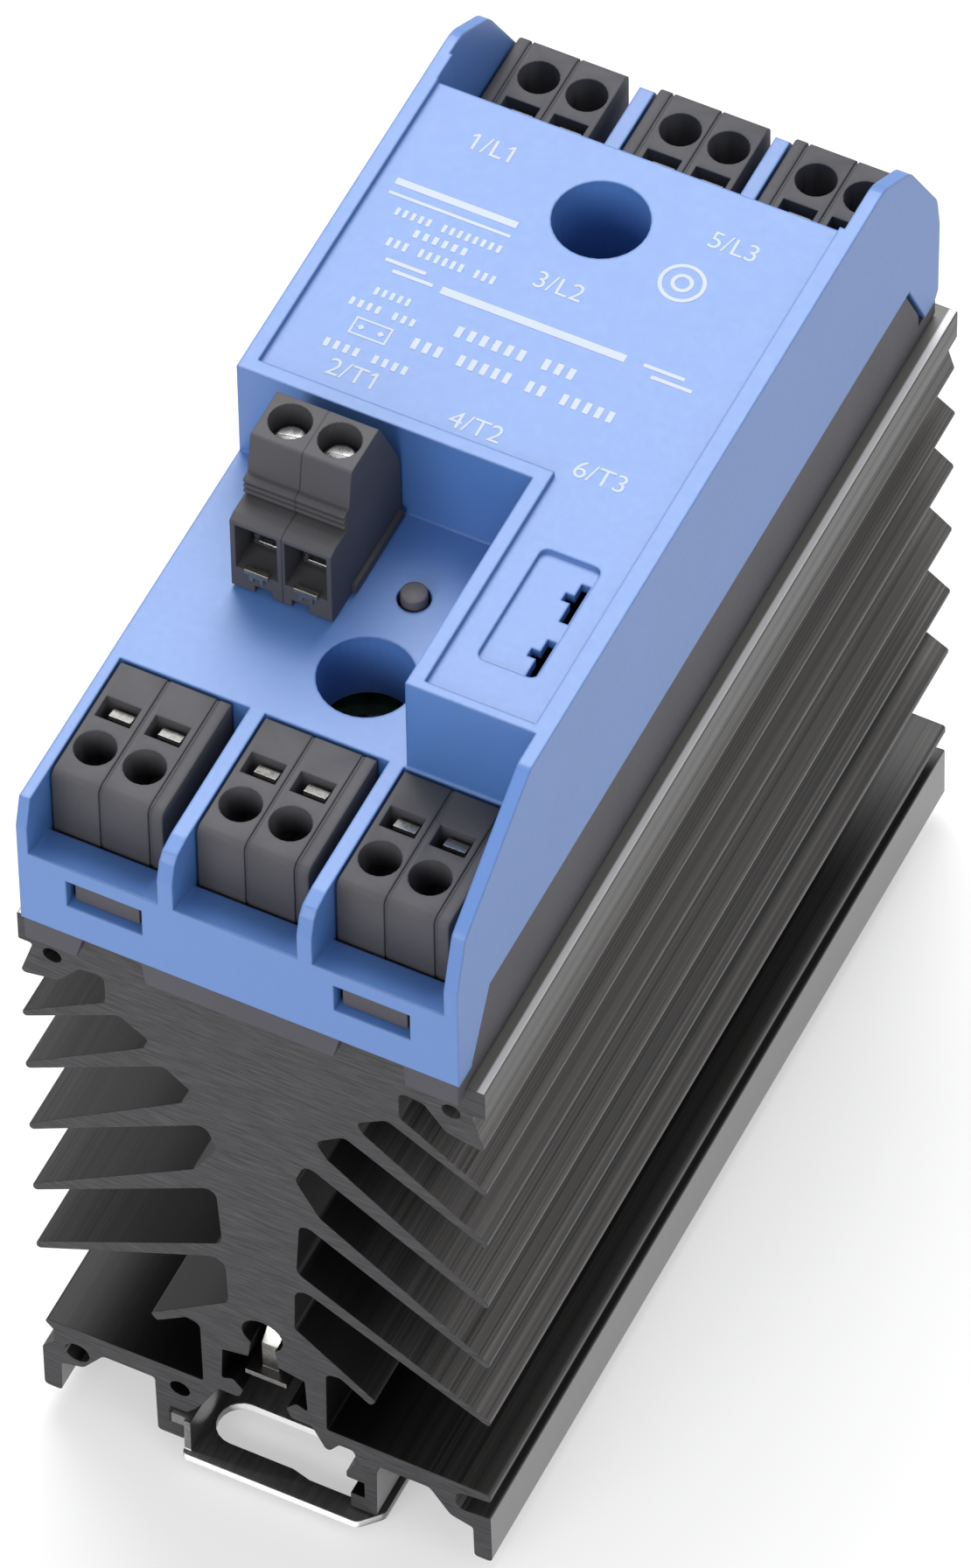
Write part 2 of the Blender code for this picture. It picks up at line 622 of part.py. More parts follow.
def strip_outline(centre_line, thickness):
    """The closed outline of a bent strip of even thickness along a centre line."""
    points = [Vector(p) for p in centre_line]
    sides = ([], [])
    for index, point in enumerate(points):
        before = (point - points[index - 1]).normalized() if index else None
        after = (points[index + 1] - point).normalized() if index + 1 < len(points) else None
        along = (before or after) + (after or before)
        along.normalize()
        normal = Vector((-along.y, along.x))
        stretch = 1.0 / max(0.5, along.dot(before or after))
        for side, sign in zip(sides, (1, -1)):
            side.append(point + normal * sign * stretch * thickness / 2)
    return sides[0] + sides[1][::-1]


def make_terminals():
    rows = (("load", FRONT_FACE, 1), ("line", FAR_FACE, -1))
    for row, face, inward in rows:
        for phase, start in enumerate(BAY_STARTS, 1):
            x = start + GAP
            plate_x = x + 2 * POLE_PITCH
            if inward < 0:
                plate_x, x = x, x + END_PLATE + GAP
            label = f"{row}_{phase}"
            for letter in "ab":
                make_pole(f"terminal_{label}{letter}", x, face, inward)
                make_clamp_spring(f"clamp_spring_{label}{letter}", x, face, inward)
                x += POLE_PITCH
            extruded(
                f"end_plate_{label}",
                [terminal_outline(face, inward)],
                "X",
                plate_x,
                plate_x + END_PLATE,
                TERMINAL_PLASTIC,
            )
            low, high = spread(face, inward, (5.0, 9.4))
            box(
                f"contact_bar_{label}",
                (start + 2.4, *low, z_at(8.1)),
                (start + 9.6, *high, z_at(9.6)),
                TINNED_COPPER,
            )


# ---------------------------------------------------------------- control header, plug, indicator


def make_header():
    low, high = (-15.2, 34.4), (-6.2, 43.8)
    header = housing_box(
        "control_header", (low[0], high[0]), (low[1], high[1]), (8.1, 19.9), GREY_PLASTIC
    )
    for number, x in enumerate(PLUG_POLES, 1):
        pin = housing_box(
            f"header_pin_{number}",
            (x - 0.5, x + 0.5),
            (PLUG_SCREW_Y + 2.5, PLUG_SCREW_Y + 3.5),
            (18.0, 26.0),
        )
        join(header, pin)


def make_indicator():
    start = (INDICATOR_AT[0], y_at(INDICATOR_AT[1]), z_at(8.1))
    pipe = cylinder("indicator_lens", 1.3, start, 12.8, finish=LENS_PLASTIC, segments=20)
    foot = cylinder("indicator_foot", 2.2, (start[0], start[1], z_at(15.8)), 1.2, segments=20)
    join(pipe, foot)


def make_plug():
    """Pluggable screw connector: body, two slotted screws and two rising clamps."""
    bottom = LOW_FLOOR + GAP
    profile = [(PLUG_FRONT, bottom, 0.2), (PLUG_FRONT, 29.9, 0.2), (31.9, 30.2), (34.4, 30.2)]
    for rib in range(3):
        low = 30.6 + rib * 0.75
        profile += [(34.4, low), (33.9, low + 0.15), (33.9, low + 0.45), (34.4, low + 0.6)]
    profile += [(34.9, 32.7), (35.6, PLUG_TOP, 0.3), (41.2, PLUG_TOP, 0.3), (44.7, 29.6, 0.5)]
    profile += [(PLUG_BACK, 27.2, 0.5), (PLUG_BACK, bottom, 0.2)]
    left = PLUG_CENTRE_X - PLUG_WIDTH / 2
    body = extruded(
        "plug_body", [side_profile(profile)], "X", left, left + PLUG_WIDTH, PLUG_PLASTIC
    )
    flange_span = (left + 0.2, left + PLUG_WIDTH + 0.45)
    join(body, housing_box("plug_flange", flange_span, (35.0, 45.0), (bottom, bottom + 1.0)))
    for number, x in enumerate(PLUG_POLES, 1):
        centre = (x, y_at(PLUG_SCREW_Y))
        well = cylinder(f"plug_well_{number}", 2.1, (*centre, z_at(32.9)), 6.0, segments=20)
        shaft = cylinder(f"plug_shaft_{number}", 1.6, (*centre, z_at(28.0)), 8.0, segments=16)
        entry = housing_box(
            f"wire_entry_{number}", (x - 2.15, x + 2.15), (30.0, 41.4), (23.2, 29.4)
        )
        socket = housing_box(
            f"pin_socket_{number}",
            (x - 0.9, x + 0.9),
            (PLUG_SCREW_Y + 2.1, PLUG_SCREW_Y + 3.9),
            (19.0, 27.0),
        )
        cut(body, well, shaft, entry, socket)
        make_plug_screw(number, centre)
        make_plug_clamp(number, x)
    for number, x in enumerate((-1.9, 1.9)):
        notch = housing_box(
            f"foot_notch_{number}",
            (PLUG_CENTRE_X + x - 0.9, PLUG_CENTRE_X + x + 0.9),
            (30.0, 32.4),
            (19.0, 21.4),
        )
        cut(body, notch)


def make_plug_screw(number, centre):
    screw = turned(
        f"plug_screw_{number}",
        [(0.0, 34.9), (1.4, 34.85), (1.8, 34.45), (1.8, 33.2), (1.2, 33.2), (1.2, 28.4)]
        + [(0.9, 28.0), (0.0, 28.0)],
        (*centre, SINK_TOP),
        PLATED_STEEL,
        steps=20,
    )
    blade = box(f"screw_slot_{number}", (-2.5, -0.25, 0.0), (2.5, 0.25, 1.6))
    blade.location = Vector((*centre, z_at(34.95))) * MM
    blade.rotation_euler[2] = math.radians(12 if number == 1 else 8)
    cut(screw, blade)


def make_plug_clamp(number, x):
    """A steel cage round the wire space, which rises when its screw is turned."""
    outer = [(x - 1.75, 23.6), (x + 1.75, 23.6), (x + 1.75, 26.7), (x - 1.75, 26.7)]
    inner = [(x - 1.25, 24.1), (x + 1.25, 24.1), (x + 1.25, 26.2), (x - 1.25, 26.2)]
    rings = [[(p[0], z_at(p[1])) for p in ring] for ring in (outer, inner)]
    front, back = y_at(34.0), y_at(39.6)
    extruded(f"plug_clamp_{number}", rings, "Y", front, back, PLATED_STEEL)


# ---------------------------------------------------------------- DIN-rail clip

FEET = CLIP_DROP  # height of the heatsink's feet above the lowest point
SHEET_TOP = FEET - GAP
SHEET_LOW = SHEET_TOP - CLIP_SHEET
RAIL_EDGE = RAIL_WIDTH / 2


def make_slider():
    """Sheet-steel latch: a slotted tab in front, a hook under the rail and lips in the grooves."""
    front = y_at(0.6)
    hook_end = -RAIL_EDGE + 1.9
    back = -RAIL_EDGE - 0.6
    corners = [(-8.6, front, 0.5), (10.2, front, 1.0), (12.3, front + 2.2, 1.0), (12.3, back)]
    outline = rounded([*corners, (-8.6, back)])
    near, far = front + 3.0, front + 7.9
    corners = [(-7.3, near, 2.4), (2.0, near, 1.0), (4.0, near - 0.5, 1.0), (9.4, near - 0.5, 1.0)]
    window = rounded([*corners, (9.4, far, 2.4), (-7.3, far, 2.4)], steps=5)
    slider = extruded(
        "clip_slider", [outline, window], "Z", SHEET_LOW, SHEET_TOP, PLATED_STEEL
    )
    step = [(back - 1.5, SHEET_LOW + 0.3), (back - 1.5, 0.0), (hook_end, 0.0)]
    step += [(hook_end, CLIP_SHEET), (back - 0.4, CLIP_SHEET), (back - 0.4, SHEET_LOW + 0.3)]
    hook = extruded("slider_hook", [step], "X", -8.4, 12.1)
    join(slider, hook)
    flange_top = SINK_TOP - 72.0
    groove_low = SINK_TOP - 73.4
    for name, x, span in (
        ("left", -8.2, (front + 0.6, -RAIL_EDGE - 4.0)),
        ("right", 8.2, (front + 12.0, -RAIL_EDGE - 4.0)),
    ):
        low, high = (x - 0.35, span[0], SHEET_LOW + 0.3), (x + 0.35, span[1], flange_top)
        flange = box(f"flange_{name}", low, high)
        reach = sorted((x, math.copysign(10.1, x)))
        low, high = (reach[0], span[0] + 0.4, groove_low), (reach[1], span[1] - 0.4, flange_top)
        lip = box(f"lip_{name}", low, high)
        join(slider, flange, lip)
    return slider


def make_rail_hook():
    """Fixed sheet hook at the far side of the rail, held in the heatsink's grooves."""
    far = y_at(RELAY_OVERHANG + SINK_LENGTH)
    profile = [(far - 1.0, SHEET_TOP), (far - 1.0, SHEET_LOW), (RAIL_EDGE + 1.6, SHEET_LOW)]
    profile += [(RAIL_EDGE + 1.6, 0.0), (RAIL_EDGE - 1.9, 0.0), (RAIL_EDGE - 1.9, CLIP_SHEET)]
    profile += [(RAIL_EDGE + 0.6, CLIP_SHEET), (RAIL_EDGE + 0.6, SHEET_TOP)]
    hook = extruded("rail_hook", [profile], "X", -10.0, 10.0, PLATED_STEEL)
    flange_top = SINK_TOP - 72.0
    groove_low = SINK_TOP - 73.4
    for name, side in (("left", -1), ("right", 1)):
        x = side * 8.3
        span = (RAIL_EDGE + 4.0, far - 2.0)
        low, high = (x - 0.35, span[0], SHEET_LOW + 0.3), (x + 0.35, span[1], flange_top)
        flange = box(f"hook_flange_{name}", low, high)
        reach = sorted((x, side * 10.1))
        low, high = (reach[0], span[0] + 0.4, groove_low), (reach[1], span[1] - 0.4, flange_top)
        lip = box(f"hook_lip_{name}", low, high)
        join(hook, flange, lip)
    return hook


def make_latch_spring():
    """Leaf spring in the channel under the web; its narrow tongue hooks into the keyhole."""
    front = y_at(RELAY_OVERHANG) + 0.4
    leaf = [(front, SINK_TOP - 61.0), (front + 8.0, SINK_TOP - 61.0), (front + 22.0, SINK_TOP - 69.0)]
    leaf += [(front + 30.0, SINK_TOP - 70.6)]
    spring = extruded(
        "latch_spring", [strip_outline(leaf, 0.6)], "X", -2.2, 2.2, SPRING_STEEL
    )
    tongue = [(front + 1.4, SINK_TOP - 61.2), (front + 1.4, SINK_TOP - 57.0)]
    tongue += [(front + 5.0, SINK_TOP - 53.6), (front + 9.0, SINK_TOP - 53.2)]
    neck = extruded("spring_tongue", [strip_outline(tongue, 0.6)], "X", -0.9, 0.9)
    return join(spring, neck)


# ---------------------------------------------------------------- assembly

make_heatsink()
make_cover()
make_base()
make_inside()
make_mounting_screws()
make_terminals()
make_header()
make_indicator()
make_plug()
make_slider()
make_rail_hook()
make_latch_spring()

PLUG_PARTS = ("plug_body", "plug_screw_1", "plug_screw_2", "plug_clamp_1", "plug_clamp_2")


def hold(name, at, members):
    """An empty that carries a group of parts without moving them."""
    empty = bpy.data.objects.new(name, None)
    empty.location = Vector(at) * MM
    parts.objects.link(empty)
    bpy.context.view_layer.update()
    for obj in members:
        place = obj.matrix_world.copy()
        obj.parent = empty
        obj.matrix_world = place
    return empty


root_parts = [obj for obj in parts.objects if obj.name not in PLUG_PARTS]
plug_parts = [parts.objects[name] for name in PLUG_PARTS]
relay = hold("relay_assembly", (0, 0, 0), root_parts)
plug = hold("plug_assembly", (PLUG_CENTRE_X, y_at(PLUG_SCREW_Y), z_at(LOW_FLOOR)), plug_parts)
bpy.context.view_layer.update()
plug_place = plug.matrix_world.copy()
plug.parent = relay
plug.matrix_world = plug_place
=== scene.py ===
"""Looks for the three-phase solid state relay: finishes, printing, fine detail, light and camera."""

import math

import bmesh
import bpy
from mathutils import Matrix, Vector


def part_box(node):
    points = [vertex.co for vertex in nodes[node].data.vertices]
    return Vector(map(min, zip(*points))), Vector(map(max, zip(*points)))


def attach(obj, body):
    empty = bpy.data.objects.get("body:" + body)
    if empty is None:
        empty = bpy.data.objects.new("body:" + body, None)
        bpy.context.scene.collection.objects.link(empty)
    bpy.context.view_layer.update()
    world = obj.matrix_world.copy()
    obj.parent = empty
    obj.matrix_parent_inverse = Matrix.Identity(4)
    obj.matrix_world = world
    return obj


MM = 0.001

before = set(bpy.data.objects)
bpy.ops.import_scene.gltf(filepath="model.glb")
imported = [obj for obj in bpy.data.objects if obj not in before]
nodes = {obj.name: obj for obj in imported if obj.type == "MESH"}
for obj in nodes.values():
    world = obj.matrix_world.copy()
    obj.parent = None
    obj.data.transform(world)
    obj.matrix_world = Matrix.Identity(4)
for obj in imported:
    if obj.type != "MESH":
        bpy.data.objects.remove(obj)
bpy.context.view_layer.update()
scene = bpy.context.scene


# ---------------------------------------------------------------- node material helpers


class Finish:
    """A Principled material with a few shorthands for procedural colour, roughness and relief."""

    def __init__(self, name, colour, roughness, metallic=0.0, **constants):
        self.material = bpy.data.materials.new(name)
        self.material.use_nodes = True
        self.tree = self.material.node_tree
        self.shader = self.tree.nodes["Principled BSDF"]
        self.shader.inputs["Base Color"].default_value = (*colour, 1)
        self.shader.inputs["Roughness"].default_value = roughness
        self.shader.inputs["Metallic"].default_value = metallic
        for socket, value in constants.items():
            self.shader.inputs[socket.replace("_", " ")].default_value = value
        self.position = self.tree.nodes.new("ShaderNodeTexCoord").outputs["Object"]

    def link(self, source, target):
        self.tree.links.new(source, target)

    def stretched(self, scale, turn=(0, 0, 0)):
        """The object's coordinates, scaled, and turned in degrees."""
        mapping = self.tree.nodes.new("ShaderNodeMapping")
        mapping.inputs["Scale"].default_value = scale
        mapping.inputs["Rotation"].default_value = [math.radians(a) for a in turn]
        self.link(self.position, mapping.inputs["Vector"])
        return mapping.outputs["Vector"]

    def noise(self, scale, detail=3.0, rough=0.55, vector=None):
        made = self.tree.nodes.new("ShaderNodeTexNoise")
        made.inputs["Scale"].default_value = scale
        made.inputs["Detail"].default_value = detail
        made.inputs["Roughness"].default_value = rough
        self.link(vector or self.position, made.inputs["Vector"])
        return made.outputs["Fac"]

    def voronoi(self, scale):
        made = self.tree.nodes.new("ShaderNodeTexVoronoi")
        made.inputs["Scale"].default_value = scale
        self.link(self.position, made.inputs["Vector"])
        return made.outputs["Distance"]

    def ramp(self, value, stops):
        """A colour for each value, from (value, colour) stops."""
        made = self.tree.nodes.new("ShaderNodeValToRGB")
        elements = made.color_ramp.elements
        while len(elements) < len(stops):
            elements.new(0.5)
        for element, (place, colour) in zip(elements, stops):
            element.position = place
            element.color = (*colour, 1)
        self.link(value, made.inputs["Fac"])
        return made.outputs["Color"]

    def span(self, value, low, high, start=0.0, end=1.0):
        """The value mapped from start..end to low..high."""
        made = self.tree.nodes.new("ShaderNodeMapRange")
        for socket, number in zip(("From Min", "From Max", "To Min", "To Max"), (start, end, low, high)):
            made.inputs[socket].default_value = number
        self.link(value, made.inputs["Value"])
        return made.outputs["Result"]

    def calc(self, operation, first, second=0.0):
        """A Math node on two values, each a number or a socket."""
        made = self.tree.nodes.new("ShaderNodeMath")
        made.operation = operation
        for socket, value in zip(made.inputs, (first, second)):
            if isinstance(value, (int, float)):
                socket.default_value = value
            else:
                self.link(value, socket)
        return made.outputs["Value"]

    def times(self, first, second):
        return self.calc("MULTIPLY", first, second)

    def absolute(self, value):
        return self.calc("ABSOLUTE", value)

    def mix(self, factor, first, second, mode="MIX"):
        """A blend of two colours, each a tuple or a socket."""
        made = self.tree.nodes.new("ShaderNodeMix")
        made.data_type = "RGBA"
        made.blend_type = mode
        for socket, value in zip((made.inputs[0], made.inputs[6], made.inputs[7]), (factor, first, second)):
            if isinstance(value, (int, float)):
                socket.default_value = value
            elif isinstance(value, tuple):
                socket.default_value = (*value, 1)
            else:
                self.link(value, socket)
        return made.outputs[2]

    def edge_normal(self, radius):
        """Rounded shading along sharp edges, radius in millimetres."""
        made = self.tree.nodes.new("ShaderNodeBevel")
        made.samples = 4
        made.inputs["Radius"].default_value = radius * MM
        return made.outputs["Normal"]

    def bump(self, height, depth, strength=1.0, normal=None):
        """Relief of a depth in millimetres."""
        made = self.tree.nodes.new("ShaderNodeBump")
        made.inputs["Strength"].default_value = strength
        made.inputs["Distance"].default_value = depth * MM
        self.link(height, made.inputs["Height"])
        if normal is not None:
            self.link(normal, made.inputs["Normal"])
        return made.outputs["Normal"]

    def grey(self, value):
        """A value as a grey colour."""
        made = self.tree.nodes.new("ShaderNodeCombineColor")
        for socket in made.inputs:
            self.link(value, socket)
        return made.outputs["Color"]

    def normal_part(self, axis):
        """How much the surface faces along +X, +Y or +Z."""
        parts = self.tree.nodes.new("ShaderNodeSeparateXYZ")
        self.link(self.tree.nodes.new("ShaderNodeTexCoord").outputs["Normal"], parts.inputs["Vector"])
        return parts.outputs[axis]

    def place(self, axis):
        """The place along X, Y or Z, in metres."""
        parts = self.tree.nodes.new("ShaderNodeSeparateXYZ")
        self.link(self.position, parts.inputs["Vector"])
        return parts.outputs[axis]

    def set(self, **sources):
        """Links sources to the shader's sockets."""
        for socket, source in sources.items():
            self.link(source, self.shader.inputs[socket.replace("_", " ")])
        return self


def leaf_steel(highlight_from):
    """Dull spring leaf whose tongue carries a painted highlight above a height."""
    made = Finish("leaf_steel", (0.3, 0.3, 0.29), 0.32, 1.0)
    fade = 0.5 * MM
    # Painted highlight: the tongue's steel is painted pale above the given height.
    painted_highlight = made.span(made.place("Z"), 0.0, 1.0, highlight_from - fade, highlight_from + fade)
    lines = made.noise(260, 3.0, 0.6, made.stretched((8, 1, 8)))
    dull = made.ramp(lines, [(0.3, (0.13, 0.125, 0.12)), (0.7, (0.24, 0.235, 0.225))])
    colour = made.mix(painted_highlight, dull, (0.50, 0.49, 0.46))
    return made.set(Base_Color=colour, Normal=made.bump(lines, 0.01, 0.3, made.edge_normal(0.12)))


def moulded(name, colour, roughness, grain=0.012, edge=0.25, cloud=0.05, shine=0.5, seam=None):
    """Moulded plastic: fine spark-eroded grain, faint flow clouds and softened edges.

    seam is the X of a dark parting line, where the moulding has one.
    """
    made = Finish(name, colour, roughness, Specular_IOR_Level=shine)
    darker = tuple(c * (1 - cloud) for c in colour)
    lighter = tuple(c * (1 + cloud) for c in colour)
    tint = made.ramp(made.noise(90, 2.0), [(0.3, darker), (0.7, lighter)])
    if seam is not None:
        away = made.absolute(made.calc("SUBTRACT", made.place("X"), seam))
        line = made.span(away, 0.6, 0.0, 0.05 * MM, 0.11 * MM)
        tint = made.mix(line, tint, (0.008, 0.008, 0.008))
    rough = made.span(made.noise(1600, 3.0), roughness - 0.02, roughness + 0.02, 0.3, 0.7)
    relief = made.bump(made.noise(9000, 2.0, 0.6), grain, 0.35, made.edge_normal(edge))
    return made.set(Base_Color=tint, Roughness=rough, Normal=relief)


def steel(name, colour, roughness, along=(1, 40, 40), edge=0.12, mottled=0.82):
    """Rolled and plated sheet: faint rolling lines, stretched by along, and a mottled plating."""
    made = Finish(name, colour, roughness, 1.0)
    lines = made.noise(260, 3.0, 0.6, made.stretched(along))
    mottle = made.noise(1500, 3.0)
    dark = tuple(c * mottled for c in colour)
    tint = made.mix(made.span(mottle, 0.0, 1.0, 0.35, 0.65), dark, colour)
    rough = made.span(lines, roughness - 0.05, roughness + 0.06, 0.3, 0.7)
    relief = made.bump(lines, 0.01, 0.12, made.edge_normal(edge))
    return made.set(Base_Color=tint, Roughness=rough, Normal=relief)


def anodised(top):
    """Black anodised extrusion: lined drawn sides, greyer sawn ends and a milled top, with painted light: a
    pale reflection on the foot sides and a highlight on the top's outer edge.

    Painted shade darkens the drawn surface towards the web, on the left and on the base, where it lies in
    shadow.
    """
    made = Finish("anodised", (0.05, 0.05, 0.052), 0.46, 0.2, Specular_IOR_Level=0.3)
    foot_top, base_top = 9.7 * MM, 16 * MM
    web, fin_tips, edge_highlight_from = 10 * MM, 23 * MM, 23.2 * MM
    height, across = made.place("Z"), made.place("X")
    from_middle = made.absolute(across)
    upward = made.span(made.normal_part("Z"), 0.0, 1.0, 0.90, 0.97)
    sideways = made.span(made.absolute(made.normal_part("X")), 0.0, 1.0, 0.8, 0.95)
    sawn = made.span(made.absolute(made.normal_part("Y")), 0.0, 1.0, 0.7, 0.95)
    foot = made.times(made.calc("LESS_THAN", height, foot_top), sideways)
    base = made.times(made.calc("LESS_THAN", height, base_top), upward)
    milled = made.times(made.calc("GREATER_THAN", height, top - 0.2 * MM), upward)

    fine = made.noise(1.0, 2.0, 0.7, made.stretched((5200, 3, 5200)))
    broad = made.noise(1.0, 2.0, 0.6, made.stretched((900, 2, 900)))
    lines = made.calc("ADD", made.times(fine, 0.55), made.times(broad, 0.45))
    drawn = made.ramp(lines, [(0.34, (0.022, 0.021, 0.021)), (0.66, (0.138, 0.133, 0.130))])
    # Painted shade: the drawn colour is darkened towards the web, on the left side and on the base's top.
    shade_near_web = made.span(from_middle, 0.04, 1.0, web, fin_tips)
    shade_on_left = made.span(across, 0.3, 1.0, -8 * MM, 8 * MM)
    depth = made.times(made.times(shade_near_web, shade_on_left), made.span(base, 1.0, 0.3))
    drawn = made.mix(1.0, drawn, made.grey(depth), "MULTIPLY")

    saw = made.noise(1.0, 3.0, 0.65, made.stretched((260, 260, 3800), (0, 34, 0)))
    cut = made.ramp(saw, [(0.33, (0.020, 0.020, 0.022)), (0.68, (0.068, 0.068, 0.072))])
    patches = made.span(made.noise(140, 2.0), 0.0, 0.35, 0.35, 0.7)
    cut = made.mix(patches, cut, (0.032, 0.032, 0.034))

    # Painted highlight: beyond this distance from the middle the milled top is painted pale.
    edge = made.span(from_middle, 0.0, 1.0, edge_highlight_from, edge_highlight_from + 0.2 * MM)
    top_colour = made.mix(edge, (0.10, 0.10, 0.095), (0.52, 0.52, 0.53))
    colour = made.mix(sawn, drawn, cut)
    # Painted reflection: the foot's sideways faces are painted pale where they would mirror the white floor.
    colour = made.mix(foot, colour, (0.24, 0.24, 0.245))
    colour = made.mix(milled, colour, top_colour)
    relief = made.bump(made.mix(sawn, lines, saw), 0.02, 0.5, made.edge_normal(0.18))
    return made.set(Base_Color=colour, Roughness=made.span(sawn, 0.44, 0.58), Normal=relief)


def clip_steel(strip_top):
    """Dark plated strip whose cut front edges, below a height, are painted near-white and matt, a painted
    reflection of the floor.
    """
    made = Finish("clip_steel", (0.6, 0.6, 0.6), 0.3, 0.85)
    # Painted reflection: faces turned to the front, below the strip's top, take a near-white matt colour.
    painted_reflection = made.span(made.normal_part("Y"), 1.0, 0.0, -0.9, -0.6)
    painted_reflection = made.times(painted_reflection, made.calc("LESS_THAN", made.place("Z"), strip_top))
    lines = made.noise(260, 3.0, 0.6, made.stretched((8, 1, 8)))
    plated = made.ramp(lines, [(0.3, (0.17, 0.17, 0.17)), (0.7, (0.27, 0.27, 0.275))])
    colour = made.mix(painted_reflection, plated, (0.95, 0.95, 0.95))
    metal = made.span(painted_reflection, 0.9, 0.15)
    relief = made.bump(lines, 0.01, 0.15, made.edge_normal(0.15))
    return made.set(Base_Color=colour, Metallic=metal, Normal=relief)


def board_finish():
    """Green laminate with tracks under its varnish."""
    made = Finish("laminate", (0.02, 0.07, 0.03), 0.4)
    tracks = made.voronoi(420)
    tint = made.ramp(tracks, [(0.2, (0.012, 0.045, 0.020)), (0.5, (0.020, 0.080, 0.035))])
    return made.set(Base_Color=tint, Normal=made.bump(made.noise(2500), 0.01, 0.3))


# The plug's box takes in the flange at its foot, so the seam lies a little left of the box's middle.
plug_low, plug_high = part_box("plug_body")
PLUG_SEAM = (plug_low.x + plug_high.x) / 2 - 0.12 * MM
HEATSINK_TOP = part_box("heatsink")[1].z
# Above this height the latch spring's tongue carries a painted highlight.
TONGUE_HIGHLIGHT_FROM = HEATSINK_TOP - 56.5 * MM
CLIP_STRIP_TOP = 2.3 * MM

BLUE = moulded("blue_plastic", (0.062, 0.162, 0.43), 0.47, grain=0.006, edge=0.35, cloud=0.02, shine=0.9)
GREY = moulded("grey_plastic", (0.058, 0.055, 0.068), 0.60, grain=0.014, cloud=0.08, shine=0.3)
TERMINAL = moulded("terminal_plastic", (0.064, 0.063, 0.07), 0.6, grain=0.014, edge=0.22, cloud=0.1, shine=0.3)
PLUG = moulded("plug_plastic", (0.060, 0.059, 0.066), 0.58, edge=0.22, cloud=0.1, shine=0.3, seam=PLUG_SEAM)
LENS = moulded("lens", (0.075, 0.068, 0.078), 0.5, grain=0.004, edge=0.3, cloud=0.06)
PRINT = moulded("print_white", (0.40, 0.45, 0.54), 0.6, grain=0.004, edge=0.02, cloud=0.03)
CERAMIC = moulded("ceramic", (0.80, 0.79, 0.76), 0.6, grain=0.01, edge=0.2, cloud=0.04)
FILM = moulded("thermal_film", (0.50, 0.51, 0.53), 0.7, grain=0.02, edge=0.1)
# Lit and shaded copies of one spring steel: the line row's clamp springs take the darker copy, painted shade.
SPRING = steel("spring_steel", (0.38, 0.372, 0.355), 0.30, along=(8, 8, 1), edge=0.08, mottled=0.92)
SHADED_SPRING = steel("shaded_spring", (0.14, 0.138, 0.13), 0.45, along=(8, 8, 1), edge=0.08, mottled=0.85)
CONTACT = steel("contact_bronze", (0.36, 0.33, 0.28), 0.38, edge=0.1)
PLATED = steel("plated_steel", (0.74, 0.74, 0.74), 0.27, along=(8, 1, 8), mottled=0.9)
COPPER = steel("tinned_copper", (0.80, 0.66, 0.50), 0.35)
BARE = steel("bare_aluminium", (0.75, 0.76, 0.77), 0.38, along=(40, 1, 40))
LEAF = leaf_steel(TONGUE_HIGHLIGHT_FROM)
ANODISED = anodised(HEATSINK_TOP)
CLIP = clip_steel(CLIP_STRIP_TOP)
BOARD = board_finish()

FINISHES = {
    "heatsink": ANODISED,
    "housing_cover": BLUE,
    "housing_base": GREY,
    "control_header": GREY,
    "indicator_lens": LENS,
    "plug_body": PLUG,
    "base_plate": BARE,
    "thermal_pad": FILM,
    "circuit_board": BOARD,
    "latch_spring": LEAF,
    "clip_slider": CLIP,
    "rail_hook": CLIP,
    "terminal_": TERMINAL,
    "end_plate_": TERMINAL,
    "clamp_spring_load_": SPRING,
    "clamp_spring_line_": SHADED_SPRING,
    "contact_bar_": COPPER,
    "power_module_": CERAMIC,
}


def for_name(table, name, otherwise=None):
    """The table's entry whose key starts the name."""
    return next((entry for start, entry in table.items() if name.startswith(start)), otherwise)


for name, node in nodes.items():
    node.data.materials.clear()
    node.data.materials.append(for_name(FINISHES, name, PLATED).material)


# ---------------------------------------------------------------- softened CAD edges

SHARP = math.radians(32)


def soften(node, width):
    """Rounds a CAD node's sharp edges with modifiers, width in millimetres; its own mesh stays as it is."""
    node.data.shade_smooth()
    weld = node.modifiers.new("weld", "WELD")
    weld.merge_threshold = 0.002 * MM
    flat = node.modifiers.new("flat", "DECIMATE")
    flat.decimate_type = "DISSOLVE"
    flat.angle_limit = math.radians(0.8)
    bevel = node.modifiers.new("edges", "BEVEL")
    bevel.width = width * MM
    bevel.segments = 2
    bevel.limit_method = "ANGLE"
    bevel.angle_limit = SHARP
    bevel.use_clamp_overlap = True
    bevel.harden_normals = True
    bevel.miter_outer = "MITER_ARC"


# Bevel widths in millimetres. The other nodes keep sharp edges and round them in their material.
SOFT_EDGES = {
    "terminal_": 0.12,
    "end_plate_": 0.10,
    "indicator_lens": 0.25,
    "clip_slider": 0.12,
}

for name, node in nodes.items():
    width = for_name(SOFT_EDGES, name)
    if width:
        soften(node, width)
    else:
        node.data.shade_smooth()
        node.data.set_sharp_from_angle(angle=SHARP)


# ---------------------------------------------------------------- printing on the panel

# Places on the panel are in millimetres, across from the cover's middle and back from its front.
cover_low, cover_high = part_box("housing_cover")
MID_X = (cover_low.x + cover_high.x) / 2
FRONT_Y = cover_low.y
PANEL_Z = cover_high.z - 0.6 * MM
PRINT_HEIGHT = 0.03 * MM


def on_panel(x, y, height=0.0):
    """A point on the panel, height metres above it."""
    return Vector((MID_X + x * MM, FRONT_Y + y * MM, PANEL_Z + height))


